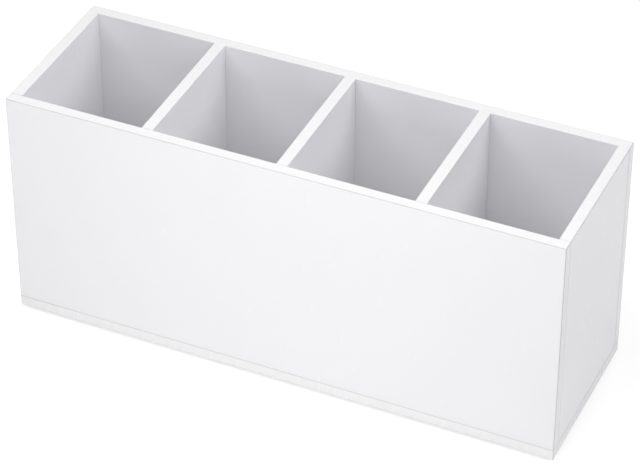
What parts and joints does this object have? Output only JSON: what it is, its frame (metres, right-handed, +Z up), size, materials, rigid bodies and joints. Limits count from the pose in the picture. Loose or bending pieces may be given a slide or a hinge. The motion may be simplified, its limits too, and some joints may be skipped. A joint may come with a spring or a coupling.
{
  "type": "pen holder",
  "caption": "Long open-topped pen holder built from white acrylic sheet, with dividers that part it into a row of equal compartments, standing on small clear feet.",
  "frame": {"origin": "on the desk, under the middle of the box", "axes": "+X along the row of compartments, to the right seen from the front; +Y from the front panel to the back panel; +Z up"},
  "size_m": [0.25, 0.079, 0.1115],
  "materials": {
    "white_acrylic": "gloss",
    "clear_silicone": "satin"
  },
  "bodies": {
    "root": {"base_plate": "white_acrylic", "front_panel": "white_acrylic", "back_panel": "white_acrylic", "left_end_panel": "white_acrylic", "right_end_panel": "white_acrylic", "divider_1": "white_acrylic", "divider_2": "white_acrylic", "divider_3": "white_acrylic", "front_left_foot": "clear_silicone", "front_right_foot": "clear_silicone", "back_left_foot": "clear_silicone", "back_right_foot": "clear_silicone"}
  },
  "joints": []
}
